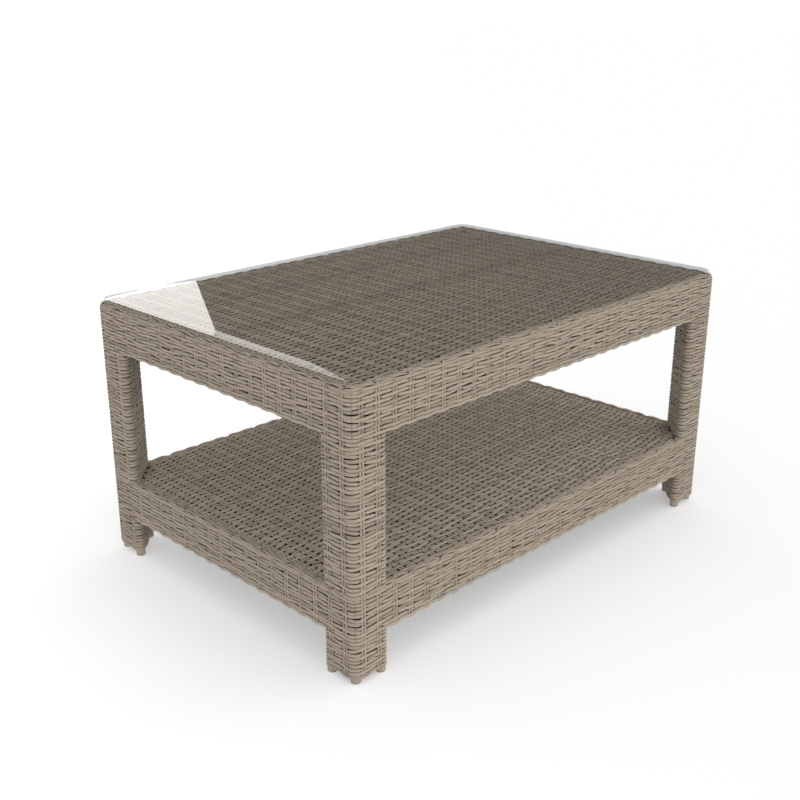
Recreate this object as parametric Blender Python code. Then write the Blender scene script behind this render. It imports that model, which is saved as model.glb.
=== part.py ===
"""Wicker coffee table: a glass top on a woven table with a woven lower shelf.

Metres, +Z up. The origin is on the floor at the middle of the table. +X runs along the long side.
Each leg holds three upright tubes, one at the outer corner and one at each end of a three-sided
woven sleeve. Side frames join the tubes behind the woven bands of the apron and of the shelf.
"""
from math import cos, pi, sin, sqrt

import bmesh
import bpy

# Overall
LENGTH = 0.900
WIDTH = 0.620
HEIGHT = 0.455
GAP = 0.0003  # left between two pieces that touch

# Glass top and the clear pads under it
GLASS_T = 0.005
GLASS_INSET = 0.004  # from the outer face of the weave to the edge of the glass
GLASS_CORNER_R = 0.022
GLASS_EDGE = 0.0008  # polished chamfer
PAD_R = 0.006
PAD_T = 0.0015
PAD_INSET = 0.050  # from the outer faces to the middle of a pad

# Woven skins
SKIN_T = 0.0022
CORNER_R = 0.015  # upright outer corners
TOP_EDGE_R = 0.010  # edge between the apron and the top
LIP_FLAT = 0.001  # level part of the apron's weave past that edge
BAND_EDGE = 0.0015  # chamfer at the top of the shelf band
APRON_H = 0.076
SHELF_TOP_Z = 0.1423
SHELF_BAND_H = 0.0717

# Legs
LEG_SIDE = 0.067  # length of the two outer faces of a leg
LEG_END_R = 0.009  # rounding of the two inner corners of a leg
CORNER_TUBE_IN = 0.0125  # from both outer faces to the middle of the corner tube
TUBE_WALL = 0.0012
TUBE_SIDES = 12

# Feet
FOOT_R = 0.00775
FOOT_H = 0.0097  # what shows under the weave
FOOT_EDGE = 0.0016  # rounding at the floor
SPIGOT_H = 0.012  # plug inside the tube
FOOT_SIDES = 16

# Frames
RAIL_W = 0.012  # across the face of the table
RAIL_H = 0.012
LOWER_RAIL_UP = 0.0015  # from the bottom of the weave to the lower rail
UPRIGHT_W = 0.008
WINDOW_MAX = 0.080  # widest space between two uprights
CROSS_BAR_W = 0.020
CROSS_BAR_AT = 0.30  # share of the half length where a pair of cross bars stands

# Worked out from the sizes above
HALF_L = LENGTH / 2
HALF_W = WIDTH / 2
GLASS_Z = HEIGHT - GLASS_T
TOP_WEAVE_Z = GLASS_Z - GAP - PAD_T - GAP
APRON_BOTTOM_Z = TOP_WEAVE_Z - APRON_H
SHELF_BOTTOM_Z = SHELF_TOP_Z - SHELF_BAND_H
LEG_WEAVE_Z = FOOT_H + GAP
TUBE_R = LEG_END_R - SKIN_T - GAP
TOP_LIP = TOP_EDGE_R + LIP_FLAT  # how far the apron's weave turns in over the top frame
RAIL_IN = SKIN_T + GAP  # from the outer face to the outer side of a rail
RAIL_CHAMFER = TOP_EDGE_R - SKIN_T - GAP  # clears the rounded edge of the weave
RAIL_END_IN = max(CORNER_R, RAIL_IN + RAIL_W + GAP)  # clears the rounded corner and the next rail
LEG_DIAGONAL = LEG_SIDE + sqrt(2) * LEG_END_R  # sum of the distances from both faces on the leg's inner face
SMALLEST_R = 0.0005  # inner corner of the lip
HALF_CORNER_STEPS = 4

CORNERS = {"front_left": (-1, -1), "front_right": (1, -1), "back_right": (1, 1), "back_left": (-1, 1)}
SIDES = {"front": 0, "right": 1, "back": 2, "left": 3}  # quarter turns from the front, which faces -Y


def clear_scene():
    for obj in list(bpy.data.objects):
        bpy.data.objects.remove(obj)


def make_material(name, colour, roughness, metallic=0.0, transmission=0.0):
    material = bpy.data.materials.new(name)
    material.use_nodes = True
    shader = material.node_tree.nodes["Principled BSDF"]
    shader.inputs["Base Color"].default_value = (*colour, 1.0)
    shader.inputs["Roughness"].default_value = roughness
    shader.inputs["Metallic"].default_value = metallic
    shader.inputs["Transmission Weight"].default_value = transmission
    material.diffuse_color = (*colour, 1.0)
    return material


def add_object(name, bm, material, smooth=False):
    """A named object from a bmesh whose faces are turned to point out."""
    bmesh.ops.recalc_face_normals(bm, faces=bm.faces)
    mesh = bpy.data.meshes.new(name)
    bm.to_mesh(mesh)
    bm.free()
    if smooth:
        mesh.shade_smooth()
        mesh.set_sharp_from_angle(angle=pi / 5)
    mesh.materials.append(material)
    obj = bpy.data.objects.new(name, mesh)
    bpy.context.scene.collection.objects.link(obj)
    return obj


def loft(loops, joined_ends=False):
    """A bmesh through loops of equal length: capped at both ends, or with the last loop joined to the first."""
    bm = bmesh.new()
    rings = [[bm.verts.new(point) for point in loop] for loop in loops]
    pairs = list(zip(rings, rings[1:]))
    if joined_ends:
        pairs.append((rings[-1], rings[0]))
    else:
        bm.faces.new(rings[0])
        bm.faces.new(rings[-1])
    for low, high in pairs:
        for i in range(len(low)):
            j = (i + 1) % len(low)
            bm.faces.new((low[i], low[j], high[j], high[i]))
    return bm


def arc(centre, radius, start, end, steps):
    """Points from the angle start to the angle end, both included."""
    angles = [start + (end - start) * i / steps for i in range(steps + 1)]
    return [(centre[0] + radius * cos(a), centre[1] + radius * sin(a)) for a in angles]


def at_height(points, z):
    return [(x, y, z) for x, y in points]


def circle(x, y, radius, sides):
    return arc((x, y), radius, 0, 2 * pi * (sides - 1) / sides, sides - 1)


def rounded_rectangle(half_x, half_y, radius, steps):
    points = []
    for quarter, (sx, sy) in enumerate(((1, 1), (-1, 1), (-1, -1), (1, -1))):
        centre = (sx * (half_x - radius), sy * (half_y - radius))
        points += arc(centre, radius, quarter * pi / 2, (quarter + 1) * pi / 2, steps)
    return points


def turned(point, quarters):
    """A point turned about Z by a number of quarter turns."""
    x, y, z = point
    for _ in range(quarters):
        x, y = -y, x
    return (x, y, z)


def side_half_sizes(side):
    """Half the length of a side, and how far its outer face is from the middle."""
    return (HALF_L, HALF_W) if SIDES[side] % 2 == 0 else (HALF_W, HALF_L)


# Glass and pads


def make_glass(material):
    loops = []
    for z, inset in (
        (GLASS_Z, GLASS_INSET + GLASS_EDGE),
        (GLASS_Z + GLASS_EDGE, GLASS_INSET),
        (HEIGHT - GLASS_EDGE, GLASS_INSET),
        (HEIGHT, GLASS_INSET + GLASS_EDGE),
    ):
        radius = GLASS_CORNER_R - (inset - GLASS_INSET)
        loops.append(at_height(rounded_rectangle(HALF_L - inset, HALF_W - inset, radius, 6), z))
    add_object("glass_top", loft(loops), material, smooth=True)


def make_pads(material):
    for corner, (sx, sy) in CORNERS.items():
        outline = circle(sx * (HALF_L - PAD_INSET), sy * (HALF_W - PAD_INSET), PAD_R, FOOT_SIDES)
        low = TOP_WEAVE_Z + GAP
        bm = loft([at_height(outline, low), at_height(outline, low + PAD_T)])
        add_object(f"glass_pad_{corner}", bm, material, smooth=True)


# Woven bands, which turn half of each outer corner and meet the next band there


def band_sections(side, profile):
    """The profile, as (inset, z) points, placed along one side and half of the corner at each end."""
    half, out = side_half_sizes(side)
    end_gap = GAP / sqrt(2)
    sections = []
    for sign, start, end in ((-1, 1.25 * pi, 1.5 * pi), (1, 1.5 * pi, 1.75 * pi)):
        for i in range(HALF_CORNER_STEPS + 1):
            angle = start + (end - start) * i / HALF_CORNER_STEPS
            section = []
            for inset, z in profile:
                radius = max(CORNER_R - inset, SMALLEST_R)
                x = sign * (half - inset - radius - end_gap) + radius * cos(angle)
                y = -(out - inset - radius) + radius * sin(angle)
                section.append(turned((x, y, z), SIDES[side]))
            sections.append(section)
    return sections


def make_apron_bands(material):
    high = TOP_WEAVE_Z
    middle = (TOP_EDGE_R, high - TOP_EDGE_R)
    profile = [(0, APRON_BOTTOM_Z)]
    profile += arc(middle, TOP_EDGE_R, pi, pi / 2, 4)
    profile += [(TOP_LIP, high), (TOP_LIP, high - SKIN_T)]
    profile += arc(middle, TOP_EDGE_R - SKIN_T, pi / 2, pi, 4)
    profile += [(SKIN_T, APRON_BOTTOM_Z)]
    for side in SIDES:
        add_object(f"apron_weave_{side}", loft(band_sections(side, profile)), material, smooth=True)


def make_shelf_bands(material):
    profile = [
        (0, SHELF_BOTTOM_Z),
        (0, SHELF_TOP_Z - BAND_EDGE),
        (BAND_EDGE, SHELF_TOP_Z),
        (SKIN_T, SHELF_TOP_Z),
        (SKIN_T, SHELF_BOTTOM_Z),
    ]
    for side in SIDES:
        add_object(f"shelf_edge_weave_{side}", loft(band_sections(side, profile)), material, smooth=True)


# Woven panels


def make_top_panel(material):
    inset = TOP_LIP + GAP
    radius = max(CORNER_R - inset, SMALLEST_R)
    outline = rounded_rectangle(HALF_L - inset, HALF_W - inset, radius, 2 * HALF_CORNER_STEPS)
    bm = loft([at_height(outline, TOP_WEAVE_Z - SKIN_T), at_height(outline, TOP_WEAVE_Z)])
    add_object("top_panel_weave", bm, material)


def make_shelf_panel(material):
    """The shelf's top, with its corners cut along the inner faces of the legs."""
    inset = SKIN_T + GAP
    cut = LEG_DIAGONAL - inset
    outline = []
    for sx, sy in ((-1, -1), (1, -1), (1, 1), (-1, 1)):
        ends = [(HALF_L - inset, HALF_W - cut), (HALF_L - cut, HALF_W - inset)]
        if sx * sy < 0:
            ends.reverse()
        outline += [(sx * x, sy * y) for x, y in ends]
    bm = loft([at_height(outline, SHELF_TOP_Z - SKIN_T), at_height(outline, SHELF_TOP_Z)])
    add_object("shelf_panel_weave", bm, material)


# Legs


def leg_outline(inset):
    """One leg's section, as distances from its two outer faces: a triangle with rounded corners."""
    near = LEG_END_R
    far = LEG_SIDE - LEG_END_R
    outline = arc((CORNER_R, CORNER_R), CORNER_R - inset, pi, 1.5 * pi, 6)
    outline += arc((far, near), LEG_END_R - inset, 1.5 * pi, 2.25 * pi, 7)
    outline += arc((near, far), LEG_END_R - inset, 0.25 * pi, pi, 7)
    return outline


def from_corner(points, sx, sy):
    """Distances from the outer faces turned into places at one corner of the table."""
    return [(sx * (HALF_L - u), sy * (HALF_W - v)) for u, v in points]


def make_leg_sleeves(material):
    stretches = {
        "upper": (SHELF_TOP_Z + GAP, APRON_BOTTOM_Z - GAP),
        "lower": (LEG_WEAVE_Z, SHELF_BOTTOM_Z - GAP),
    }
    for corner, (sx, sy) in CORNERS.items():
        outer = from_corner(leg_outline(0), sx, sy)
        inner = from_corner(leg_outline(SKIN_T), sx, sy)
        for name, (low, high) in stretches.items():
            loops = [at_height(outer, low), at_height(outer, high), at_height(inner, high), at_height(inner, low)]
            bm = loft(loops, joined_ends=True)
            add_object(f"leg_weave_{name}_{corner}", bm, material, smooth=True)


def tube_places(sx, sy):
    """The middles of a leg's three tubes: at the corner, along X and along Y."""
    far = LEG_SIDE - LEG_END_R
    points = [(CORNER_TUBE_IN, CORNER_TUBE_IN), (far, LEG_END_R), (LEG_END_R, far)]
    return dict(zip(("corner", "long_side", "short_side"), from_corner(points, sx, sy)))


def make_tubes(material):
    low = LEG_WEAVE_Z
    high = TOP_WEAVE_Z - SKIN_T - GAP - RAIL_H - GAP
    for corner, (sx, sy) in CORNERS.items():
        for place, (x, y) in tube_places(sx, sy).items():
            outer = circle(x, y, TUBE_R, TUBE_SIDES)
            inner = circle(x, y, TUBE_R - TUBE_WALL, TUBE_SIDES)
            loops = [at_height(outer, low), at_height(outer, high), at_height(inner, high), at_height(inner, low)]
            bm = loft(loops, joined_ends=True)
            add_object(f"leg_tube_{corner}_{place}", bm, material, smooth=True)


def make_feet(material):
    """Round caps with a plug that goes up inside the tube."""
    plug_r = (TUBE_R - TUBE_WALL) * cos(pi / TUBE_SIDES) - GAP
    profile = [(FOOT_R - FOOT_EDGE, 0)]
    profile += arc((FOOT_R - FOOT_EDGE, FOOT_EDGE), FOOT_EDGE, 1.75 * pi, 2 * pi, 1)
    profile += [(FOOT_R, FOOT_H), (plug_r, FOOT_H), (plug_r, FOOT_H + SPIGOT_H)]
    for corner, (sx, sy) in CORNERS.items():
        for place, (x, y) in tube_places(sx, sy).items():
            loops = [at_height(circle(x, y, radius, FOOT_SIDES), z) for radius, z in profile]
            add_object(f"foot_{corner}_{place}", loft(loops), material, smooth=True)


# Frames


def add_windows(frame, name, side, spans, low, high):
    """Cuts the spaces between the uprights out of a side frame."""
    _, out = side_half_sizes(side)
    past = 0.005
    bm = bmesh.new()
    for start, end in spans:
        near = -(out - RAIL_IN + past)
        far = -(out - RAIL_IN - RAIL_W - past)
        box = bmesh.ops.create_cube(bm, size=1.0)["verts"]
        for vert in box:
            x = end if vert.co.x > 0 else start
            y = far if vert.co.y > 0 else near
            z = high if vert.co.z > 0 else low
            vert.co = turned((x, y, z), SIDES[side])
    cutter = add_object(f"{name}_windows", bm, frame.data.materials[0])
    cutter.hide_render = True
    cutter.display_type = "WIRE"
    cut = frame.modifiers.new("windows", "BOOLEAN")
    cut.operation = "DIFFERENCE"
    cut.object = cutter


def make_side_frame(name, side, top_z, bottom_z, over_the_tubes, material):
    """Two rails and their uprights. The top frame's upper rail also runs over the ends of the tubes."""
    half, out = side_half_sizes(side)
    inner_end = half - (LEG_SIDE - LEG_END_R) - TUBE_R - GAP
    upper_high = top_z - SKIN_T - GAP
    upper_low = upper_high - RAIL_H
    lower_low = bottom_z + LOWER_RAIL_UP
    lower_high = lower_low + RAIL_H

    def outline(depth, high):
        end = half - RAIL_END_IN
        points = [(-inner_end, lower_low), (inner_end, lower_low)]
        if over_the_tubes:
            points += [(inner_end, upper_low), (end, upper_low), (end, high)]
            points += [(-end, high), (-end, upper_low), (-inner_end, upper_low)]
        else:
            points += [(inner_end, high), (-inner_end, high)]
        return [turned((x, -(out - RAIL_IN - depth), z), SIDES[side]) for x, z in points]

    loops = [outline(0, upper_high), outline(RAIL_W, upper_high)]
    if over_the_tubes:
        loops[:1] = [outline(0, upper_high - RAIL_CHAMFER), outline(RAIL_CHAMFER, upper_high)]
    frame = add_object(name, loft(loops), material)

    clear = 2 * inner_end - UPRIGHT_W
    count = max(1, -int(-clear // (WINDOW_MAX + UPRIGHT_W)))
    pitch = clear / count
    starts = [-inner_end + UPRIGHT_W + pitch * i for i in range(count)]
    spans = [(start, start + pitch - UPRIGHT_W) for start in starts]
    add_windows(frame, name, side, spans, lower_high, upper_low)


def make_cross_bars(name, weave_z, material):
    """Two bars under a panel, from one long side frame to the other."""
    half_y = HALF_W - RAIL_IN - RAIL_W - GAP
    high = weave_z - SKIN_T - GAP
    for label, sign in (("left", -1), ("right", 1)):
        middle = sign * HALF_L * CROSS_BAR_AT
        low_x = middle - CROSS_BAR_W / 2
        high_x = middle + CROSS_BAR_W / 2
        outline = [(low_x, -half_y), (high_x, -half_y), (high_x, half_y), (low_x, half_y)]
        bm = loft([at_height(outline, high - RAIL_H), at_height(outline, high)])
        add_object(f"{name}_{label}", bm, material)


def main():
    clear_scene()
    rattan = make_material("rattan", (0.36, 0.30, 0.23), 0.55)
    glass = make_material("glass", (0.90, 0.95, 0.94), 0.02, transmission=1.0)
    clear_pad = make_material("clear_pad", (0.80, 0.82, 0.80), 0.25, transmission=0.8)
    frame = make_material("frame", (0.20, 0.17, 0.14), 0.45, metallic=0.6)
    foot = make_material("foot", (0.33, 0.27, 0.20), 0.50)

    make_glass(glass)
    make_pads(clear_pad)
    make_apron_bands(rattan)
    make_shelf_bands(rattan)
    make_top_panel(rattan)
    make_shelf_panel(rattan)
    make_leg_sleeves(rattan)
    make_tubes(frame)
    make_feet(foot)
    for side in SIDES:
        make_side_frame(f"top_frame_{side}", side, TOP_WEAVE_Z, APRON_BOTTOM_Z, True, frame)
        make_side_frame(f"shelf_frame_{side}", side, SHELF_TOP_Z, SHELF_BOTTOM_Z, False, frame)
    make_cross_bars("top_cross_bar", TOP_WEAVE_Z, frame)
    make_cross_bars("shelf_cross_bar", SHELF_TOP_Z, frame)


main()
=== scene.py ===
"""Looks of the wicker coffee table: each strand of the weave, the glass, the feet, light and camera.

Metres, in the frame's own axes. A skin is a surface that is woven: s runs along its rows and t across
them. Rows of half-round strand pass in front of and behind pairs of stakes.
"""

from math import acos, atan2, cos, pi, radians, sin, sqrt

import bpy
import numpy as np
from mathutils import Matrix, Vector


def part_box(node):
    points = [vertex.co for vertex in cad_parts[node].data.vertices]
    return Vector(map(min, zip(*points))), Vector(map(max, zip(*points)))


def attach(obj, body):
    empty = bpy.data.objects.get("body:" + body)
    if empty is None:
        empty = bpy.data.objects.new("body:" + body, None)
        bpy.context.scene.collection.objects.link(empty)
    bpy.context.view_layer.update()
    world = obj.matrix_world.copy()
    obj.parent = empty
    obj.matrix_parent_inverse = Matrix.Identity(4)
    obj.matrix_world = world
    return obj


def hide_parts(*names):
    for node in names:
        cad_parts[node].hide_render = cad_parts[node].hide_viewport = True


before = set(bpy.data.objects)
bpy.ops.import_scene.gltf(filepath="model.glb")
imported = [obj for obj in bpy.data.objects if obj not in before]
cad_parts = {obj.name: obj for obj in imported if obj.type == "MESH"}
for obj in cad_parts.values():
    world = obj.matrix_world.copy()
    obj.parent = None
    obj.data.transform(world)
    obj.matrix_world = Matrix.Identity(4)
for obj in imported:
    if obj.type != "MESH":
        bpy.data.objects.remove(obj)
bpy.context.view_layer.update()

# Places read from the frame
HALF_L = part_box("apron_weave_right")[1][0]
HALF_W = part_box("apron_weave_back")[1][1]
TOP_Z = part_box("top_panel_weave")[1][2]
APRON_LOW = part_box("apron_weave_front")[0][2]
SHELF_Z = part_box("shelf_panel_weave")[1][2]
SHELF_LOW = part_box("shelf_edge_weave_front")[0][2]
LEG_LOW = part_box("leg_weave_lower_front_left")[0][2]
LEG_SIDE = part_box("leg_weave_upper_front_left")[1][0] + HALF_L

# Shape of the skins
CORNER_R = 0.015
LEG_END_R = 0.009
LEG_DIAGONAL = LEG_SIDE + sqrt(2) * LEG_END_R  # sum of its inner face's distances from the two outer faces
TOP_EDGE_R = 0.010
SHELF_EDGE_R = 0.005

# Strands
THICK = 0.0021
STAKE_THICK = 0.0015
STAKE_W = 0.0045
STAKE_APART = 0.0053
# Half-round section: places across it and heights, as shares of its width and thickness
PROFILE = ((-0.50, 0.08), (-0.38, 0.62), (-0.14, 0.97), (0.14, 0.97), (0.38, 0.62), (0.50, 0.08))
FILL = 0.97  # width of a strand over the pitch of its rows
FINEST = 0.0009  # closest sections of a row
TRIMMED = 0.001  # how far the sections that are trimmed off lie past its ends

# Weave
STAKE_PITCH = 0.0327
LONG_LEG_STAKES = (0.0190, 0.0490)  # from the corner, on the long sides
SHORT_LEG_STAKES = (0.0222, 0.0522)
INNER_LEG_STAKES = (0.28, 0.72)  # shares of a leg's slanting face
APRON_PITCH = 0.0054
LEG_PITCH = 0.0061
SHELF_BAND_PITCH = 0.0062
TOP_PITCH = 0.0057
SHELF_PITCH = 0.0059
APRON_LAST = 0.0065  # from the start of the top edge to the top of the band's last row
SHELF_LAST = 0.001  # the same for the shelf's band
APRON_WAVE = 0.0012  # how far the lowest row waves up and down
SHELF_WAVE = 0.0017
LEG_WAVE = 0.0016
STAKE_HIGH = 0.0007  # depth of a stake where it shows
STAKE_LOW = 0.0015  # depth of a stake behind a row
DEEPEST = 0.0042  # where the painted shade, which darkens with depth, is at its darkest
LINING_LOW = 0.0040  # depth of the inner strands, painted dark as shade
LINING_W = 1.15  # width of an inner strand over the pitch of the rows
TUCKED = 0.003  # how far a panel's rows run on under a rim, and all of its strands under a leg
STAKE_TUCKED = 0.004  # how far its stakes run on under a rim
OUTER_ROW_TUCKED = 0.001  # how far its outermost rows lie under a rim
DRIFT = 0.0005  # how far neighbouring rows and stakes drift together

# Braided rim
BORDER_IN = 0.0120  # from the outer faces to its inner line
BORDER_LANES = 3
BORDER_LAP = 2 * STAKE_PITCH  # along the rim, while a strand crosses one lane
BORDER_SECTIONS = 60  # along one strand
BORDER_LOW = 0.0024  # depth of a strand's ends, under the rows
BORDER_DIP = 0.0017  # how much deeper it lies under a tucked end
BORDER_SWELL = 0.0013  # how much higher it lies halfway between pairs of stakes
BORDER_SWAY = 0.0006
# Random tones of the rim's strands, above the rows' 0 to 1, so that the rim is painted lighter, as light on
# the top edge
BORDER_TONES_PAINTED_LIGHTER = (0.7, 1.4)
TUCK_W = 0.0040  # of a stake's end that is tucked in over the rim
TUCK_SECTIONS = 9
TUCK_SLANT = 0.0030  # how far its ends lean to either side, and how soon they go under
TUCK_LOW = 0.0034  # how much deeper its ends lie
TUCK_HIGH = 0.0006  # how far it stands out
# Random tones of the tucked ends, above the rows' 0 to 1, painted lighter as light on the top edge
TUCK_TONES_PAINTED_LIGHTER = (0.9, 1.5)

# Irregularity of a row
UNEVEN = 0.65  # most that its narrowing differs from one place to another, as a share
UNEVEN_TURN = 97  # radians of that difference over a metre
WANDERS = 4  # waves that move a row up and down
WANDER = 0.00036
WANDER_LENGTHS = (0.028, 0.120)
SWAY = 0.16  # how far a narrow place moves to one side, as a share of the width lost
SWAY_TURN = 61  # radians of that movement over a metre


class RowShape:
    """How a row passes behind a pair of stakes, by distance from the middle of the pair."""

    def __init__(self, low, near, far, pinch, pinch_near, pinch_far, behind, over):
        self.low = low  # depth of the row behind the stakes
        self.near, self.far = near, far  # fully behind, and fully in front again
        self.pinch = pinch  # how much narrower it is beside them
        self.pinch_near, self.pinch_far = pinch_near, pinch_far
        self.behind, self.over = np.array(behind), np.array(over)  # places of its sections


WALL_ROWS = RowShape(
    0.0018, 0.0030, 0.0092, 0.40, 0.0046, 0.0108,
    (-0.0128, -0.0112, -0.0095, -0.0078, -0.0062, -0.0030, 0.0030, 0.0062, 0.0078, 0.0095, 0.0112, 0.0128),
    (-0.0110, -0.0040, 0.0040, 0.0110))
TOP_ROWS = RowShape(
    0.0036, 0.0066, 0.0112, 0.80, 0.0066, 0.0145,
    (-0.0145, -0.0112, -0.0090, -0.0066, 0.0066, 0.0090, 0.0112, 0.0145),
    (0.0,))
SHELF_ROWS = RowShape(
    0.0033, 0.0064, 0.0110, 0.55, 0.0064, 0.0138,
    (-0.0138, -0.0110, -0.0088, -0.0064, 0.0064, 0.0088, 0.0110, 0.0138),
    (0.0,))

# Glass
GLASS_CORNER_R = 0.022

# Cards that the glass mirrors, on the upright plane x + y = CARD_AT: places along it and heights
CARD_AT = 4.0
WINDOW_CARD = (
    (-1.8, 1.27), (-1.331, 1.232), (-1.091, 1.171), (-0.92, 1.151),
    (-0.85, 1.372), (-0.90, 1.70), (-1.8, 1.70))
WALL_CARD = (
    (-0.85, 1.372), (-0.568, 1.474), (-0.436, 1.520), (-0.278, 1.605),
    (0.10, 1.79), (0.10, 2.2), (-0.89, 2.2))
WINDOW_GLOW = 2.4
WALL_GLOW = 1.4

ARC_STEPS = 8  # sections of a row round each arc
CORNERS = {"front_left": (-1, -1), "front_right": (1, -1), "back_right": (1, 1), "back_left": (-1, 1)}
SIDES = ("front", "right", "back", "left")


def smooth_step(low, high, x):
    k = np.clip((x - low) / (high - low), 0, 1)
    return k * k * (3 - 2 * k)


def unit(vectors):
    return vectors / np.linalg.norm(vectors, axis=1, keepdims=True)


# Skins


class Outline:
    """The closed line round discs, counter-clockwise, measured by length along it."""

    def __init__(self, discs):
        self.arcs, self.runs = [], []
        count = len(discs)
        turns = []
        for i, (centre, radius) in enumerate(discs):
            other, other_radius = discs[(i + 1) % count]
            across = (other[0] - centre[0], other[1] - centre[1])
            lean = acos((radius - other_radius) / sqrt(across[0] ** 2 + across[1] ** 2))
            turns.append(atan2(across[1], across[0]) - lean)
        at = 0.0
        for i, (centre, radius) in enumerate(discs):
            first = turns[i - 1]
            swept = (turns[i] - first) % (2 * pi)
            self.arcs.append((at, centre, radius, first, swept))
            at += radius * swept
            other, other_radius = discs[(i + 1) % count]
            normal = np.array((cos(turns[i]), sin(turns[i])))
            start = np.array(centre) + radius * normal
            run = np.array(other) + other_radius * normal - start
            self.runs.append((at, start, normal, run / np.linalg.norm(run), np.linalg.norm(run)))
            at += np.linalg.norm(run)
        self.length = at

    def place(self, s):
        """Points and outward normals at the lengths s."""
        s = s % self.length
        points = np.zeros((len(s), 2))
        normals = np.zeros((len(s), 2))
        for at, centre, radius, first, swept in self.arcs:
            inside = (s >= at) & (s < at + radius * swept)
            angle = first + (s[inside] - at) / radius
            normals[inside] = np.stack((np.cos(angle), np.sin(angle)), axis=1)
            points[inside] = np.array(centre) + radius * normals[inside]
        for at, start, normal, along, length in self.runs:
            inside = (s >= at) & (s < at + length + 1e-9)
            points[inside] = start + along * (s[inside] - at)[:, None]
            normals[inside] = normal
        return points, normals

    def arc_places(self):
        """Lengths that step round each arc."""
        return np.concatenate([
            at + np.linspace(0, radius * swept, ARC_STEPS + 1) for at, _, radius, _, swept in self.arcs])

    def arc_middles(self):
        return np.array([at + radius * swept / 2 for at, _, radius, _, swept in self.arcs])


class Drift:
    """A slow random wave over a skin, the same in neighbouring rows."""

    def __init__(self, rng, length, size):
        self.waves = []
        for _ in range(10):
            along = round(length * rng.uniform(2, 16)) / length
            self.waves.append((along, rng.uniform(-14, 14), rng.uniform(0, 2 * pi)))
        self.size = size / sqrt(len(self.waves) / 2)

    def at(self, s, t):
        total = 0
        for along, across, phase in self.waves:
            total = total + np.sin(2 * pi * (along * s + across * t) + phase)
        return self.size * total


class Skin:
    """What the walls and the panels share."""

    def __init__(self, length, stakes, closed, row_shape, rng):
        self.length = length
        self.stakes = np.array(stakes)
        self.closed = closed
        self.row_shape = row_shape
        self.corners = np.array(())  # where legs stand, on a band
        self.ends = (-1.0, 1.0)  # the t of its first and last edges, where rows of another skin meet them
        self.drift = Drift(rng, length, DRIFT)
        self.rng = rng

    def waving(self, s):
        """How much a scalloped row waves at s: not at all where it runs across the face of a leg."""
        still, free = LEG_SIDE - 0.004, LEG_SIDE + 0.010
        return smooth_step(still, free, self.apart(s, self.corners))

    def freedom(self, t):
        """How freely rows wander: not at all at the ends, where rows of another skin lie against them."""
        reach = 0.014
        return smooth_step(0, reach, t - self.ends[0]) * smooth_step(0, reach, self.ends[1] - t)

    def apart(self, s, stakes):
        """Distance of each s from the nearest of the stakes."""
        gap = np.abs(s[:, None] - stakes[None, :])
        if self.closed:
            gap = np.minimum(gap % self.length, -gap % self.length)
        return gap.min(axis=1) if len(stakes) else np.full(len(s), 1.0)


class Wall(Skin):
    """Rows round an outline. The profile rises, turns in over an edge of radius edge, and runs on flat."""

    def __init__(self, outline, low, high, edge, stakes, rng):
        super().__init__(outline.length, stakes, True, WALL_ROWS, rng)
        self.outline = outline
        self.low = low
        self.rise = high - low - edge
        self.edge = edge
        self.turn = self.rise + edge * pi / 2  # t where the edge is passed
        self.bends = outline.arc_places()

    def place(self, s, t, depth):
        points, plan = self.outline.place(s)
        edge = max(self.edge, 1e-6)
        angle = np.clip((t - self.rise) / edge, 0, pi / 2) if self.edge else np.zeros(len(s))
        inset = self.edge * (1 - np.cos(angle)) + (np.maximum(t - self.turn, 0) if self.edge else 0)
        z = self.low + (np.minimum(t, self.rise) if self.edge else t) + self.edge * np.sin(angle)
        normals = np.column_stack((plan * np.cos(angle)[:, None], np.sin(angle)))
        points = np.column_stack((points - plan * inset[:, None], z))
        return points - normals * depth[:, None], normals


class Panel(Skin):
    """Rows along X on a level surface; t is Y."""

    def __init__(self, z, stakes, row_shape, rng):
        super().__init__(2 * HALF_L, stakes, False, row_shape, rng)
        self.z = z
        self.bends = np.array(())

    def place(self, s, t, depth):
        normals = np.tile((0.0, 0.0, 1.0), (len(s), 1))
        return np.column_stack((s, t, self.z - depth)), normals


# Strands


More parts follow.
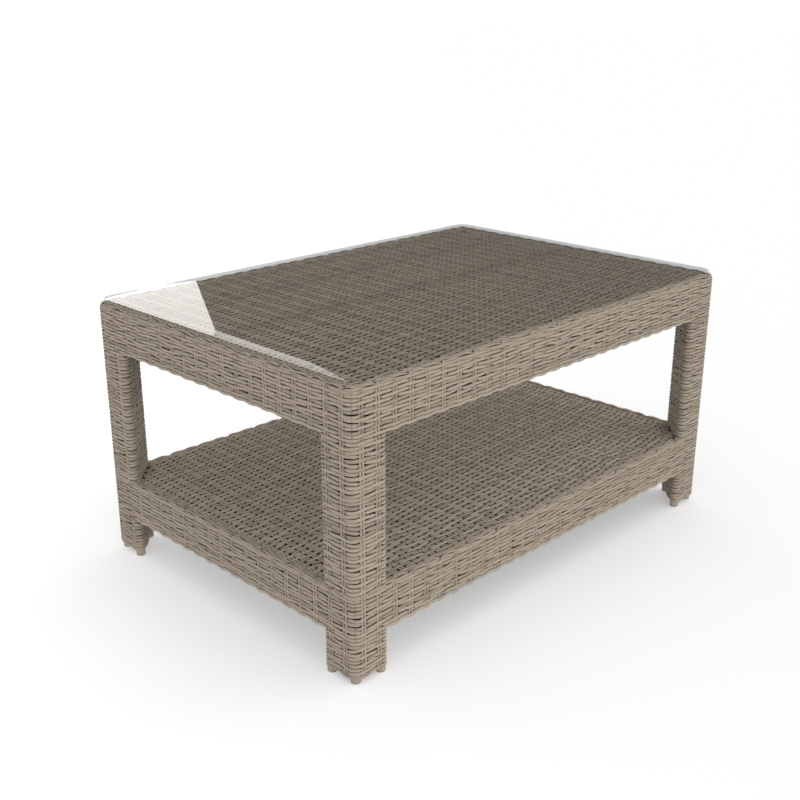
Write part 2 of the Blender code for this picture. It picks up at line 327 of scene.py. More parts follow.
class Strands:
    """Gathers the strands of one piece, and makes them into one mesh."""

    def __init__(self):
        self.points, self.lengths, self.counts, self.tones, self.deeps = [], [], [], [], []

    def add(self, points, normals, width, thick, depth, tone, trimmed=False):
        """A strand whose flat side runs through points and faces away from normals. depth is that of its
        crown. A trimmed strand loses its end sections, which only set the direction of their neighbours."""
        along = unit(np.gradient(points, axis=0))
        out = unit(normals - along * np.sum(normals * along, axis=1, keepdims=True))
        across = np.cross(along, out)
        width = np.broadcast_to(width, len(points))[:, None, None]
        places, heights = np.array(PROFILE).T
        sideways = across[:, None] * places[:, None] * width
        ring = points[:, None] + sideways + out[:, None] * heights[:, None] * thick
        # deep sets the painted shade: the edges of the section lie deeper, so the lines between the rows are
        # painted darker
        deep = np.broadcast_to(depth, len(points))[:, None] + (1 - heights) * thick
        if trimmed:
            points, ring, deep = points[1:-1], ring[1:-1], deep[1:-1]
        steps = np.linalg.norm(np.diff(points, axis=0), axis=1)
        self.points.append(ring)
        self.lengths.append(np.concatenate(((0,), np.cumsum(steps))))
        self.counts.append(len(points))
        self.tones.append(tone)
        self.deeps.append(deep.ravel())

    def mesh(self, name):
        sides = len(PROFILE)
        points = np.concatenate(self.points).reshape(-1, 3)
        firsts = np.concatenate(((0,), np.cumsum(self.counts)[:-1]))
        ring = np.concatenate([first + np.arange(count - 1) for first, count in zip(firsts, self.counts)])
        side = np.arange(sides)
        after = (side + 1) % sides
        quads = np.stack((
            ring[:, None] * sides + side, ring[:, None] * sides + after,
            (ring[:, None] + 1) * sides + after, (ring[:, None] + 1) * sides + side), axis=2).reshape(-1, 4)
        lasts = firsts + np.array(self.counts) - 1
        caps = np.concatenate((firsts[:, None] * sides + side[::-1], lasts[:, None] * sides + side))
        mesh = bpy.data.meshes.new(name)
        mesh.vertices.add(len(points))
        mesh.vertices.foreach_set("co", points.astype(np.float32).ravel())
        corners = np.concatenate((quads.ravel(), caps.ravel())).astype(np.int32)
        mesh.loops.add(len(corners))
        mesh.loops.foreach_set("vertex_index", corners)
        starts = np.concatenate((4 * np.arange(len(quads)), 4 * len(quads) + sides * np.arange(len(caps))))
        mesh.polygons.add(len(starts))
        mesh.polygons.foreach_set("loop_start", starts.astype(np.int32))
        smooth = np.arange(len(starts)) < len(quads)
        mesh.polygons.foreach_set("use_smooth", smooth)
        self.add_maps(mesh, corners, ring, len(quads), caps)
        self.add_values(mesh)
        mesh.update(calc_edges=True)
        mesh.validate()
        return mesh

    def add_maps(self, mesh, corners, ring, quad_count, caps):
        """The map "strand" is length along and place round a strand. "OFBake" lays strands out in lines."""
        sides = len(PROFILE)
        lengths = np.concatenate(self.lengths)
        strand = np.repeat(np.arange(len(self.counts)), self.counts)
        side = np.tile(np.arange(sides), len(ring))[:, None] + np.array((0, 1, 1, 0))
        here = corners[: quad_count * 4].reshape(-1, 4) // sides
        cap_here = caps // sides
        shift = 7.31  # sets each strand apart in the grain
        cap_side = np.tile(np.arange(sides) / sides, (len(caps), 1))
        u = np.concatenate(((lengths[here] + shift * strand[here]).ravel(),
                            (lengths[cap_here] + shift * strand[cap_here]).ravel()))
        v = np.concatenate(((side / sides).ravel(), cap_side.ravel()))
        add_map(mesh, "strand", u, v)
        before = np.concatenate(((0,), np.cumsum([line[-1] for line in self.lengths])))
        laid = lengths + before[strand]
        high = 0.0018  # a face's share of a line, in metres of map
        line = (sides + 2) * high
        longest = 0.012  # most that a face runs on past the end of its line
        usable = sqrt(before[-1] * line)
        row = np.floor(laid[here].min(axis=1) / usable)[:, None]
        cap_row = np.floor(laid[cap_here].min(axis=1) / usable)[:, None]
        spread = np.arange(sides) * 2 * pi / sides
        u = np.concatenate(((laid[here] - row * usable).ravel(),
                            (laid[cap_here] - cap_row * usable + np.cos(spread) * high / 3).ravel()))
        v = np.concatenate(((row * line + side * high).ravel(),
                            (cap_row * line + (sides + 1) * high + np.sin(spread) * high / 3).ravel()))
        size = max(usable + longest, (row.max() + 1) * line)
        add_map(mesh, "OFBake", np.clip(u / size, 0, 1), np.clip(v / size, 0, 1))

    def add_values(self, mesh):
        """Each strand's tone, and how deep each point lies in the weave, which the material turns into
        painted shade.
        """
        tones = np.repeat(np.array(self.tones), np.array(self.counts) * len(PROFILE))
        deeps = np.clip(np.concatenate(self.deeps) / DEEPEST, 0, 1)
        for name, values in (("tone", tones), ("deep", deeps)):
            mesh.attributes.new(name, "FLOAT", "POINT").data.foreach_set("value", values.astype(np.float32))


def add_map(mesh, name, u, v):
    places = np.column_stack((u, v)).astype(np.float32)
    mesh.uv_layers.new(name=name).uv.foreach_set("vector", places.ravel())


def add_piece(name, mesh, material, slot, *nodes):
    mesh.materials.append(material)
    piece = bpy.data.objects.new(name, mesh)
    bpy.context.scene.collection.objects.link(piece)
    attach(piece, "root")
    if nodes:
        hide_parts(*nodes)
    return piece


def row_sections(skin, span, under):
    """Where a row needs sections between the two ends of span."""
    places = [np.array(span)]
    laps = (-skin.length, 0, skin.length) if skin.closed else (0,)
    for lap in laps:
        for stake, below in zip(skin.stakes, under):
            places.append(stake + lap + (skin.row_shape.behind if below else skin.row_shape.over))
        places.append(skin.bends + lap)
    places = np.unique(np.concatenate(places))
    places = places[(places >= span[0]) & (places <= span[1])]
    keep = [places[0]]
    for place in places[1:]:
        if place - keep[-1] > FINEST:
            keep.append(place)
    keep[-1] = span[1]
    return np.array(keep)


def add_row(strands, skin, t, span, odd, width, tucked=False, wave=0.0, hem=False, rng=None):
    """One row of weft. It passes behind every other pair of stakes, or a hem in front of all of them. The
    ends of a tucked row go under what lies past them."""
    rng = rng or skin.rng
    shape = skin.row_shape
    under = (np.arange(len(skin.stakes)) + odd) % 2 == 0
    if hem:
        under &= skin.waving(skin.stakes) < 0.5
    s = row_sections(skin, span, under)
    s = np.concatenate(((s[0] - TRIMMED,), s, (s[-1] + TRIMMED,)))
    apart = skin.apart(s, skin.stakes[under])
    dive = 1 - smooth_step(shape.near, shape.far, apart)
    uneven = 1 + UNEVEN * np.sin(s * UNEVEN_TURN + rng.uniform(0, 2 * pi))
    pinch = shape.pinch * uneven * (1 - smooth_step(shape.pinch_near, shape.pinch_far, apart))
    depth = shape.low * dive * (0.75 + 0.25 * uneven)
    if tucked:
        hidden, free = 0.001, 0.007  # distances from an end
        for end in span:
            depth = np.maximum(depth, shape.low * (1 - smooth_step(hidden, free, np.abs(s - end))))
    wander = skin.drift.at(s, t)
    for _ in range(WANDERS):
        turns = round(skin.length / rng.uniform(*WANDER_LENGTHS))
        wander = wander + WANDER * np.sin(2 * pi * turns * s / skin.length + rng.uniform(0, 2 * pi))
    sway = SWAY * width * pinch * np.sin(s * SWAY_TURN + rng.uniform(0, 2 * pi))
    places = t + wander * skin.freedom(t) + sway
    if wave:
        phase = skin.apart(s, skin.stakes) / STAKE_PITCH
        places = places - wave * skin.waving(s) * np.cos(2 * pi * phase)
    points, normals = skin.place(s, places, depth + THICK)
    strands.add(points, normals, width * (1 - pinch), THICK, depth, rng.uniform(), trimmed=True)


def scallops(low_wave, row):
    """How far a row waves, counted from the lowest: half as far as the one below it, until it hardly does."""
    wave = low_wave * 0.5 ** row
    return wave if wave > 1e-4 else 0.0


def middles(rows):
    return (rows[:-1] + rows[1:]) / 2


def add_lining(strands, skin, joints, step, spans):
    """Straight inner strands behind the joints between the rows, painted dark as the shade seen through the
    gaps.
    """
    stride = 0.05
    for t, span in zip(joints, spans):
        bends = [skin.bends + lap for lap in (0, skin.length)]
        places = np.concatenate((np.arange(*span, stride), (span[1],), *bends))
        s = np.unique(places[(places >= span[0]) & (places <= span[1])])
        s = s[np.concatenate(((True,), np.diff(s) > 1e-5))]
        points, normals = skin.place(s, np.full(len(s), t), np.full(len(s), LINING_LOW + THICK))
        # Painted shade: the deepest depth and the lowest tone make these strands near-black
        strands.add(points, normals, step * LINING_W, THICK, DEEPEST, 0.0)


def add_stake_pair(strands, skin, stake, index, rows, odds, span, rng):
    """Two stakes side by side, in front of the rows that pass behind them."""
    behind = np.array([(index + odd) % 2 == 0 for odd in odds])
    knots = np.where(behind, STAKE_HIGH, STAKE_LOW)
    t = np.unique(np.concatenate((rows, middles(rows), span)))
    t = t[(t >= span[0]) & (t <= span[1])]
    for side in (-0.5, 0.5):
        s = np.full(len(t), stake + side * STAKE_APART)
        s = s + skin.drift.at(t * 3 + stake, stake) * 0.6
        depth = np.interp(t, rows, knots) + 0.0001 * rng.normal()
        points, normals = skin.place(s, t, depth + STAKE_THICK)
        strands.add(points, normals, STAKE_W, STAKE_THICK, depth, rng.uniform())


def evenly(low, high, pitch):
    """Middles of the rows that fill low to high, at about this pitch, and their true pitch."""
    count = max(1, round((high - low) / pitch))
    step = (high - low) / count
    return low + step * (np.arange(count) + 0.5), step


def side_stakes(length, near_legs):
    """Distances of a side's pairs of stakes from its first corner."""
    inner = near_legs[-1]
    count = round((length - 2 * inner) / STAKE_PITCH)
    between = inner + (length - 2 * inner) * np.arange(count + 1) / count
    ends = np.array(near_legs[:-1])
    return np.concatenate((ends, between, length - ends[::-1]))


def rng_for(number):
    return np.random.default_rng(9100 + number)


def in_span(places, span):
    return (places >= span[0]) & (places < span[1])


# The table's outline and the stakes round it

LONG_STAKES = side_stakes(2 * HALF_L, LONG_LEG_STAKES)
SHORT_STAKES = side_stakes(2 * HALF_W, SHORT_LEG_STAKES)
table_outline = Outline([
    ((sx * (HALF_L - CORNER_R), sy * (HALF_W - CORNER_R)), CORNER_R) for sx, sy in CORNERS.values()])
ALL_STAKES = np.concatenate([
    run[0] + (SHORT_STAKES if i % 2 else LONG_STAKES) - CORNER_R for i, run in enumerate(table_outline.runs)])


def side_span(side):
    """The lengths along the outline between the middles of a side's two corners."""
    at, _, radius, _, swept = table_outline.arcs[side]
    start = at + radius * swept / 2
    run = table_outline.runs[side]
    return start, run[0] + run[4] + radius * swept / 2


# Bands


def make_band(name, wall, pitch, last, low_wave, material, node, number):
    """One woven band with its rim, as a piece for each side. last is the t of the top of its last row."""
    rows, step = evenly(0, last, pitch)
    odds = np.arange(len(rows)) % 2
    wall.corners = wall.outline.arc_middles()
    wall.ends = (0, last)
    rim_t = wall.turn + BORDER_IN - wall.edge
    for side, label in enumerate(SIDES):
        strands = Strands()
        span = side_span(side)
        for i, t in enumerate(rows):
            add_row(strands, wall, t, span, odds[i], step * FILL, wave=scallops(low_wave, i), hem=i == 0,
                    rng=rng_for(number * 1000 + i))
        joints = middles(np.arange(rows[0], rim_t + step, step))
        add_lining(strands, wall, joints, step, [span] * len(joints))
        rng = rng_for(number * 1000 + 500 + side)
        for index, stake in enumerate(wall.stakes):
            if in_span(stake, span):
                on_leg = wall.waving(np.array((stake,)))[0] < 0.5
                reach = (0 if on_leg else rows[0], last)
                add_stake_pair(strands, wall, stake, index, rows, odds, reach, rng)
        add_border(strands, wall, last, rim_t, span, rng)
        piece = f"{name}_{label}"
        add_piece(piece, strands.mesh(piece), material, "rattan_weave", f"{node}_{label}")


def add_border(strands, wall, low, high, span, rng):
    """The braided rim, from low to high across the rows. Each strand slants from the inner rows, under which
    it starts, to the outer rows, under which it ends, and short stake ends are tucked in over it."""
    wide = (high - low) / BORDER_LANES
    overlap = 0.5 / BORDER_LANES
    k = np.linspace(-overlap, 1 + overlap, BORDER_SECTIONS)
    knots = wall.stakes[1::2]
    for start in wall.stakes[::2][in_span(wall.stakes[::2], span)]:
        s = start + BORDER_LANES * BORDER_LAP * k + rng.uniform(-0.006, 0.006)
        place = high - (high - low) * k
        beyond = np.maximum(place - (high - 0.4 * wide), low + 0.4 * wide - place) / wide
        apart = wall.apart(s + rng.uniform(-0.003, 0.003), knots)
        dip = 1 - smooth_step(0.0020, 0.0075, apart)
        swell = 0.5 - 0.5 * np.cos(2 * pi * np.minimum(wall.apart(s, wall.stakes) / STAKE_PITCH, 0.5))
        slit = 0.14 * (1 + np.sin(s * 210 + rng.uniform(0, 2 * pi)))
        depth = BORDER_LOW * smooth_step(0, 0.8, beyond) + BORDER_DIP * dip - BORDER_SWELL * swell
        place = place + BORDER_SWAY * np.sin(s * 150 + rng.uniform(0, 6))
        points, normals = wall.place(s, place, depth + THICK)
        width = wide * (0.92 - slit) * (1 - 0.36 * dip)
        strands.add(points, normals, width, THICK, depth, rng.uniform(*BORDER_TONES_PAINTED_LIGHTER))
    tucks = ((low - 0.4 * wide, low + 1.3 * wide), (low + 1.5 * wide, high + 0.3 * wide))
    for knot in knots[in_span(knots, span)]:
        for from_t, to_t in tucks:
            t = np.linspace(from_t, to_t, TUCK_SECTIONS)
            s = knot + rng.uniform(-0.004, 0.004) + np.linspace(-TUCK_SLANT, TUCK_SLANT, len(t))
            from_end = np.minimum(t - t[0], t[-1] - t)
            depth = TUCK_LOW * (1 - smooth_step(0, TUCK_SLANT, from_end)) - TUCK_HIGH
            points, normals = wall.place(s, t, depth + THICK)
            strands.add(points, normals, TUCK_W, THICK, depth, rng.uniform(*TUCK_TONES_PAINTED_LIGHTER))


def make_bands(material):
    apron = Wall(table_outline, APRON_LOW, TOP_Z, TOP_EDGE_R, ALL_STAKES, rng_for(1))
    make_band("woven_apron", apron, APRON_PITCH, apron.rise + APRON_LAST, APRON_WAVE, material,
              "apron_weave", 1)
    shelf = Wall(table_outline, SHELF_LOW, SHELF_Z, SHELF_EDGE_R, ALL_STAKES, rng_for(2))
    make_band("woven_shelf_edge", shelf, SHELF_BAND_PITCH, shelf.rise + SHELF_LAST, SHELF_WAVE, material,
              "shelf_edge_weave", 2)


# Panels


def make_panel(name, z, pitch, row_shape, legs_pass, material, node, number):
    """A woven panel, as a piece for its front half and one for its back half. Where the legs pass it, its
    corners are cut along their inner faces."""
    stakes = LONG_STAKES - HALF_L
    panel = Panel(z, stakes, row_shape, rng_for(number))
    edge = HALF_W - BORDER_IN + OUTER_ROW_TUCKED
    rows, step = evenly(-edge, edge, pitch)
    odds = np.arange(len(rows)) % 2
    for half, low, high in (("front", -1.0, 0.0), ("back", 0.0, 1.0)):
        strands = Strands()
        spans = []
        chosen = np.flatnonzero((rows >= low) & (rows < high))
        for i in chosen:
            end = HALF_L - BORDER_IN + TUCKED
            if legs_pass:
                end = min(end, HALF_L - LEG_DIAGONAL + (HALF_W - abs(rows[i])) + TUCKED)
            spans.append((-end, end))
            add_row(strands, panel, rows[i], (-end, end), odds[i], step * FILL, tucked=True,
                    rng=rng_for(number * 1000 + i))
        lined = rows[max(chosen[0] - 1, 0):chosen[-1] + 1]
        add_lining(strands, panel, middles(lined), step, spans)
        rng = rng_for(number * 1000 + 999)
        for index, stake in enumerate(stakes):
            reach = HALF_W - BORDER_IN + STAKE_TUCKED
            if legs_pass:
                reach = min(reach, HALF_W - LEG_DIAGONAL + (HALF_L - abs(stake)) + TUCKED)
            span = (max(low, -reach), min(high, reach))
            add_stake_pair(strands, panel, stake, index, rows, odds, span, rng)
        piece = f"{name}_{half}"
        add_piece(piece, strands.mesh(piece), material, "rattan_weave", node)


# Legs


def leg_outline(sx, sy):
    """Round the corner disc and the two end discs of a leg, starting at the table's corner."""
    near, far = LEG_END_R, LEG_SIDE - LEG_END_R
    discs = [((CORNER_R, CORNER_R), CORNER_R), ((far, near), LEG_END_R), ((near, far), LEG_END_R)]
    if sx * sy < 0:
        discs = [discs[0], discs[2], discs[1]]
    return Outline([((sx * (HALF_L - u), sy * (HALF_W - v)), radius) for (u, v), radius in discs])


def leg_stakes(outline, long_first):
    """The outer faces have the stakes of the table's sides there, and the slanting inner face has its own."""
    first, inner, second = outline.runs
    before, after = LONG_LEG_STAKES, SHORT_LEG_STAKES
    if not long_first:
        before, after = after, before
    stakes = [first[0] + d - CORNER_R for d in before]
    stakes += [inner[0] + inner[4] * share for share in INNER_LEG_STAKES]
    stakes += [second[0] + second[4] - (d - CORNER_R) for d in reversed(after)]
    return stakes


def make_legs(material):
    upper_low = SHELF_Z - SHELF_EDGE_R + SHELF_LAST
    for number, (corner, (sx, sy)) in enumerate(CORNERS.items()):
        outline = leg_outline(sx, sy)
        stakes = leg_stakes(outline, long_first=sx * sy > 0)
        inner = outline.runs[1]
        start = inner[0] + inner[4] / 2
        span = (start, start + outline.length)
        # The corner's last pair of stakes has the same place in the alternation here as in the bands
        shift = (len(LONG_STAKES) * ((number + 1) // 2) + len(SHORT_STAKES) * (number // 2)) % 2
        for part, low, high in (("upper", upper_low, APRON_LOW), ("lower", LEG_LOW, SHELF_LOW)):
            upper = part == "upper"
            wall = Wall(outline, low, high, 0, stakes, rng_for(10 + number))
            wall.ends = (0 if upper else -1.0, high - low)
            rows, step = evenly(0, high - low, LEG_PITCH)
            odds = (len(rows) - np.arange(len(rows)) + shift) % 2
            strands = Strands()
            for i, t in enumerate(rows):
                wave = 0.0 if upper else scallops(LEG_WAVE, i)
                add_row(strands, wall, t, span, odds[i], step * FILL, wave=wave, hem=not upper and i == 0)
            joints = np.concatenate((middles(rows), (0, high - low) if upper else (high - low,)))
            add_lining(strands, wall, joints, step, [span] * len(joints))
            for index, stake in enumerate(stakes):
                add_stake_pair(strands, wall, stake, index, rows, odds, (rows[0], high - low), wall.rng)
            name = f"woven_leg_{part}_{corner}"
            add_piece(name, strands.mesh(name), material, "rattan_weave", f"leg_weave_{part}_{corner}")


# Glass


def rounded_outline(half_x, half_y, radius, steps):
    """Points round a rectangle with round corners, counter-clockwise."""
    points = []
    for quarter, (sx, sy) in enumerate(((1, 1), (-1, 1), (-1, -1), (1, -1))):
        for i in range(steps + 1):
            angle = (quarter + i / steps) * pi / 2
            x = sx * (half_x - radius) + radius * cos(angle)
            y = sy * (half_y - radius) + radius * sin(angle)
            points.append((x, y))
    return points


def ring_faces(first, count):
    """Quads between a ring of points, numbered from first, and the ring that follows it."""
    faces = []
    for i in range(count):
        here, after = first + i, first + (i + 1) % count
        faces.append((here, after, after + count, here + count))
    return faces


def make_glass(material):
    """A sheet with round corners and a pencil-round edge."""
    low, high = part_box("glass_top")
    half = (high[2] - low[2]) / 2
    edge_steps, corner_steps = 8, 12
    rings = []
    for i in range(edge_steps + 1):
        angle = -pi / 2 + pi * i / edge_steps
        inset = half * (1 - cos(angle)) * 0.5
        z = (low[2] + high[2]) / 2 + half * sin(angle)
        outline = rounded_outline(high[0] - inset, high[1] - inset, GLASS_CORNER_R - inset, corner_steps)
        rings.append([(x, y, z) for x, y in outline])
    count = len(rings[0])
    faces = [tuple(range(count))[::-1], tuple(edge_steps * count + i for i in range(count))]
    for ring in range(edge_steps):
        faces += ring_faces(ring * count, count)
    mesh = bpy.data.meshes.new("polished_glass")
    mesh.from_pydata([point for ring in rings for point in ring], [], faces)
    mesh.shade_smooth()
    for flat in mesh.polygons[:2]:
        flat.use_smooth = False
    add_piece("polished_glass", mesh, material, "clear_glass", "glass_top")


# Feet and pads


def add_turned(name, profile, at, material, slot, node):
    """A round piece from a profile of radii and heights, listed from the bottom up."""
    sides = 40
    circle = [(cos(2 * pi * i / sides), sin(2 * pi * i / sides)) for i in range(sides)]
    points = [(0, 0, profile[0][1])]
    for radius, z in profile:
        points += [(radius * x, radius * y, z) for x, y in circle]
    points.append((0, 0, profile[-1][1]))
    last = len(points) - 1
    faces = []
    for i in range(sides):
        after = (i + 1) % sides
        faces.append((0, 1 + after, 1 + i))
        faces.append((last - sides + i, last - sides + after, last))
    for ring in range(len(profile) - 1):
        faces += ring_faces(1 + ring * sides, sides)
    mesh = bpy.data.meshes.new(name)
    mesh.from_pydata([(x + at[0], y + at[1], z) for x, y, z in points], [], faces)
    mesh.shade_smooth()
    mesh.set_sharp_from_angle(angle=radians(50))
    add_piece(name, mesh, material, slot, node)


def bead(radius, high, low, soft):
    """From the level under face round a quarter circle to the upright side, and up the side to high."""
    turn = [pi / 2 * i / 5 for i in range(6)]
    return [(radius - soft * (1 - sin(a)), low + soft * (1 - cos(a))) for a in turn] + [(radius, high)]


def peg_profile(radius):
    """A peg with a soft foot and a fine groove above it. It runs up into the weave."""
    groove = radius - 0.0006
    shoulder = radius - 0.0001
    profile = bead(radius, 0.0022, 0, 0.0018)
    return profile + [(groove, 0.0026), (groove, 0.0032), (shoulder, 0.0036), (shoulder, LEG_LOW + 0.006)]


def disc_profile(radius, low, high):
    soft = 0.0003
    return bead(radius, high - soft, low, soft) + [(radius - soft, high)]


def make_small_parts(foot_look, pad_look):
    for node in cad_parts:
        low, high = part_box(node)
        middle = ((low[0] + high[0]) / 2, (low[1] + high[1]) / 2)
        radius = (high[0] - low[0]) / 2
        if node.startswith("foot_"):
            name = node.replace("foot_", "peg_")
            add_turned(name, peg_profile(radius), middle, foot_look, "foot_cap", node)
        if node.startswith("glass_pad_"):
            name = node.replace("glass_pad_", "clear_disc_")
            add_turned(name, disc_profile(radius, low[2], high[2]), middle, pad_look, "clear_pad", node)


# Materials


def new_material(name):
    material = bpy.data.materials.new(name)
    material.use_nodes = True
    nodes = material.node_tree.nodes
    return material, nodes, material.node_tree.links, nodes["Principled BSDF"]


def set_ramp(ramp, *stops):
    """Two stops, each a position and a colour."""
    for element, (position, colour) in zip(ramp.color_ramp.elements, stops):
        element.position = position
        element.color = (*colour, 1)


def add_noise(nodes, links, place, scale, detail):
    noise = nodes.new("ShaderNodeTexNoise")
    noise.inputs["Scale"].default_value = scale
    noise.inputs["Detail"].default_value = detail
    links.new(place, noise.inputs["Vector"])
    return noise.outputs["Fac"]


def add_scaled(nodes, links, value, factor, other):
    """value * factor + other"""
    sum_node = nodes.new("ShaderNodeMath")
    sum_node.operation = "MULTIPLY_ADD"
    sum_node.inputs[1].default_value = factor
    links.new(value, sum_node.inputs[0])
    links.new(other, sum_node.inputs[2])
    return sum_node.outputs["Value"]


def read_value(nodes, name):
    attribute = nodes.new("ShaderNodeAttribute")
    attribute.attribute_name = name
    return attribute.outputs["Fac"]


def rattan_material(name, lift, shade_from, shade_to):
    """Strand with streaks along it, fine specks and a tone of its own. lift makes it lighter, and makes the
    copies for the top under the glass and for the shelf lighter as painted light. It darkens between two
    depths in the weave, given as shares of the deepest, as painted shade in its recesses and gaps."""
    material, nodes, links, shader = new_material(name)
    place = nodes.new("ShaderNodeUVMap")
    place.uv_map = "strand"
    stretch = nodes.new("ShaderNodeMapping")
    stretch.inputs["Scale"].default_value = (60, 5, 1)
    links.new(place.outputs["UV"], stretch.inputs["Vector"])
    streaks = add_noise(nodes, links, stretch.outputs["Vector"], 1.0, 3.0)
    specks = add_noise(nodes, links, place.outputs["UV"], 520.0, 2.0)
    speckled = add_scaled(nodes, links, specks, 0.5, streaks)
    mixed = add_scaled(nodes, links, read_value(nodes, "tone"), 0.42, speckled)
    surface = nodes.new("ShaderNodeValToRGB")
    dark, light = (0.252, 0.202, 0.147), (0.486, 0.408, 0.317)
    set_ramp(surface, (0.54, [c * lift for c in dark]), (1.0, [c * lift for c in light]))
    links.new(mixed, surface.inputs["Fac"])
    # Painted shade: the colour darkens with depth, in the recesses and gaps of the weave
    shade = nodes.new("ShaderNodeValToRGB")
    set_ramp(shade, (shade_from, (1, 1, 1)), (shade_to, (0.10, 0.083, 0.062)))
    links.new(read_value(nodes, "deep"), shade.inputs["Fac"])
    painted_shade = nodes.new("ShaderNodeMix")
    painted_shade.data_type = "RGBA"
    painted_shade.blend_type = "MULTIPLY"
    painted_shade.inputs["Factor"].default_value = 1.0
    links.new(surface.outputs["Color"], painted_shade.inputs["A"])
    links.new(shade.outputs["Color"], painted_shade.inputs["B"])
    links.new(painted_shade.outputs["Result"], shader.inputs["Base Color"])
    shader.inputs["Roughness"].default_value = 0.55
    bump = nodes.new("ShaderNodeBump")
    bump.inputs["Strength"].default_value = 0.35
    bump.inputs["Distance"].default_value = 0.0003
    links.new(streaks, bump.inputs["Height"])
    links.new(bump.outputs["Normal"], shader.inputs["Normal"])
    return material


def glass_material():
    """Clear glass. It hardly bends light, so the weave below stays in place, and its coat reflects."""
    material, _, _, shader = new_material("clear_glass")
    shader.inputs["Base Color"].default_value = (0.80, 0.805, 0.80, 1)
    shader.inputs["Roughness"].default_value = 0.0
    shader.inputs["IOR"].default_value = 1.01
    shader.inputs["Transmission Weight"].default_value = 1.0
    shader.inputs["Coat Weight"].default_value = 1.0
    shader.inputs["Coat Roughness"].default_value = 0.0
    shader.inputs["Coat IOR"].default_value = 1.5
    return material


def pad_material():
    """Soft clear plastic, which shows the weave it lies on."""
    material, _, _, shader = new_material("clear_pad")
    shader.inputs["Base Color"].default_value = (0.42, 0.37, 0.31, 1)
    shader.inputs["Roughness"].default_value = 0.3
    shader.inputs["Alpha"].default_value = 0.15
    return material


def mottled_material(name, colour, roughness):
    material, nodes, links, shader = new_material(name)
    place = nodes.new("ShaderNodeTexCoord")
    mottle = add_noise(nodes, links, place.outputs["Object"], 60.0, 2.0)
    ramp = nodes.new("ShaderNodeValToRGB")
    set_ramp(ramp, (0.0, [c * 0.85 for c in colour]), (1.0, [c * 1.15 for c in colour]))
    links.new(mottle, ramp.inputs["Fac"])
    links.new(ramp.outputs["Color"], shader.inputs["Base Color"])
    shader.inputs["Roughness"].default_value = roughness
    return material


def dress_frame():
    """The tubes and rails inside keep their CAD shapes, painted."""
    frame_paint = mottled_material("frame_paint", (0.16, 0.13, 0.10), 0.45)
    for name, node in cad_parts.items():
        if not name.startswith(("foot_", "glass_")):
            node.data.materials.clear()
            node.data.materials.append(frame_paint)


# Stage, light and camera


def make_floor():
    """A pale floor that glows a little as painted light, which lightens the table's shadow on it, more
    towards the back left.
    """
    reach = 30.0
    corners = [(-reach, -reach, 0), (reach, -reach, 0), (reach, reach, 0), (-reach, reach, 0)]
    mesh = bpy.data.meshes.new("floor")
    mesh.from_pydata(corners, [], [(0, 1, 2, 3)])
    floor = bpy.data.objects.new("floor", mesh)
    bpy.context.scene.collection.objects.link(floor)
    material, nodes, links, shader = new_material("floor")
    shader.inputs["Base Color"].default_value = (0.66, 0.66, 0.66, 1)
    shader.inputs["Roughness"].default_value = 0.9
    shader.inputs["Specular IOR Level"].default_value = 0.0
    # Painted light: the floor glows, more towards the back left, so the table's cast shadow on it is lighter
    shader.inputs["Emission Color"].default_value = (1, 1, 1, 1)
    place = nodes.new("ShaderNodeTexCoord")
    slope = nodes.new("ShaderNodeVectorMath")
    slope.operation = "DOT_PRODUCT"
    slope.inputs[1].default_value = (-0.07, 0.07, 0)
    links.new(place.outputs["Object"], slope.inputs[0])
    painted_floor_light = nodes.new("ShaderNodeMapRange")
    middle, dimmer, brighter = 0.39, 0.06, 0.08
    painted_floor_light.inputs["From Min"].default_value = -dimmer
    painted_floor_light.inputs["From Max"].default_value = brighter
    painted_floor_light.inputs["To Min"].default_value = middle - dimmer
    painted_floor_light.inputs["To Max"].default_value = middle + brighter
    links.new(slope.outputs["Value"], painted_floor_light.inputs["Value"])
    links.new(painted_floor_light.outputs["Result"], shader.inputs["Emission Strength"])
    mesh.materials.append(material)


def add_card(name, corners, strength):
    """A bright card behind the table, only seen as a reflection. corners are places along it and heights."""
    mesh = bpy.data.meshes.new(name)
    points = [((CARD_AT + along * sqrt(2)) / 2, (CARD_AT - along * sqrt(2)) / 2, z) for along, z in corners]
    mesh.from_pydata(points, [], [tuple(range(len(points)))])
    card = bpy.data.objects.new(name, mesh)
    bpy.context.scene.collection.objects.link(card)
    material, _, _, shader = new_material(name)
    shader.inputs["Base Color"].default_value = (0, 0, 0, 1)
    shader.inputs["Specular IOR Level"].default_value = 0.0
    shader.inputs["Emission Color"].default_value = (1, 0.985, 0.965, 1)
    shader.inputs["Emission Strength"].default_value = strength
    mesh.materials.append(material)
    card.visible_camera = False
    card.visible_diffuse = False
    card.visible_shadow = False
    card.visible_transmission = False


def add_fill():
    """A weak light under the top, for the light that a pale room sends in under the table from all sides."""
    light = bpy.data.lights.new("fill", "AREA")
    light.shape = "RECTANGLE"
    light.size = 1.5 * HALF_L
    light.size_y = 1.5 * HALF_W
    light.energy = 0.48
    fill = bpy.data.objects.new("fill", light)
    fill.location = (0, 0, APRON_LOW - 0.01)
    fill.visible_camera = False
    fill.visible_glossy = False
    fill.visible_transmission = False
    bpy.context.scene.collection.objects.link(fill)


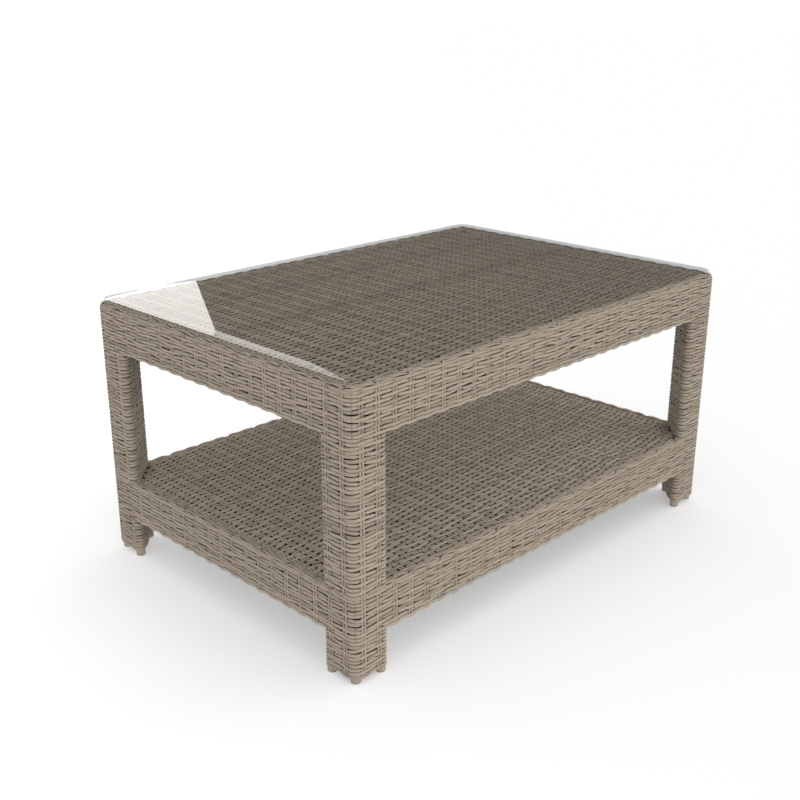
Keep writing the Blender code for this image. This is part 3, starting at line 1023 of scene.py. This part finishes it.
def make_world():
    """A soft dome, brighter overhead and towards the front and the right. The camera sees it white, glass
    mirrors it dimly, and what lies under the glass gets more light from it."""
    world = bpy.data.worlds.new("studio")
    world.use_nodes = True
    bpy.context.scene.world = world
    nodes, links = world.node_tree.nodes, world.node_tree.links
    place = nodes.new("ShaderNodeTexCoord")
    slope = nodes.new("ShaderNodeVectorMath")
    slope.operation = "DOT_PRODUCT"
    slope.inputs[1].default_value = (0.30, -0.34, 0.35)
    links.new(place.outputs["Generated"], slope.inputs[0])
    level = nodes.new("ShaderNodeMath")
    level.operation = "ADD"
    level.inputs[1].default_value = 0.78
    links.new(slope.outputs["Value"], level.inputs[0])
    dome = nodes["Background"]
    dome.inputs["Color"].default_value = (1.0, 1.0, 1.0, 1)
    links.new(level.outputs["Value"], dome.inputs["Strength"])
    rays = nodes.new("ShaderNodeLightPath")
    mirrored = nodes.new("ShaderNodeMath")
    mirrored.operation = "GREATER_THAN"
    mirrored.inputs[1].default_value = 0.5
    links.new(rays.outputs["Glossy Depth"], mirrored.inputs[0])
    through_glass = rays.outputs["Is Transmission Ray"]
    seen = rays.outputs["Is Camera Ray"]
    reflected = mirrored.outputs["Value"]
    shader = dome
    for share, strength in ((through_glass, 1.3), (seen, 1.05), (reflected, 0.035)):
        plain = nodes.new("ShaderNodeBackground")
        plain.inputs["Color"].default_value = (1, 1, 1, 1)
        plain.inputs["Strength"].default_value = strength
        mix = nodes.new("ShaderNodeMixShader")
        links.new(share, mix.inputs["Fac"])
        links.new(shader.outputs[0], mix.inputs[1])
        links.new(plain.outputs["Background"], mix.inputs[2])
        shader = mix
    links.new(shader.outputs["Shader"], nodes["World Output"].inputs["Surface"])


def make_camera():
    """At the photograph's angle: 20 degrees down, along the diagonal between the front and the left side."""
    camera = bpy.data.cameras.new("camera")
    camera.lens = 50
    camera.sensor_width = 36
    obj = bpy.data.objects.new("camera", camera)
    obj.location = (-1.350, -1.299, 0.921)
    obj.rotation_euler = (radians(70), 0, radians(-45))
    bpy.context.scene.collection.objects.link(obj)
    bpy.context.scene.camera = obj


# The top's and the shelf's copies are made lighter as painted light, for the light that the glass and the top
# hold back, and their painted shade starts at other depths
rattan = rattan_material("rattan_strand", 0.875, 0.36, 0.62)
top_rattan_painted_light = rattan_material("rattan_under_glass_painted_light", 1.40, 0.21, 0.43)
shelf_rattan_painted_light = rattan_material("rattan_of_shelf_painted_light", 0.95, 0.30, 0.56)
make_bands(rattan)
make_panel("woven_top", TOP_Z, TOP_PITCH, TOP_ROWS, False, top_rattan_painted_light, "top_panel_weave", 3)
make_panel("woven_shelf", SHELF_Z, SHELF_PITCH, SHELF_ROWS, True, shelf_rattan_painted_light, "shelf_panel_weave", 4)
make_legs(rattan)
make_glass(glass_material())
make_small_parts(mottled_material("foot_plastic", (0.42, 0.35, 0.27), 0.5), pad_material())
dress_frame()
make_floor()
add_card("window_card", WINDOW_CARD, WINDOW_GLOW)
add_card("wall_card", WALL_CARD, WALL_GLOW)
add_fill()
make_world()
make_camera()
bpy.context.scene.view_settings.view_transform = "Standard"
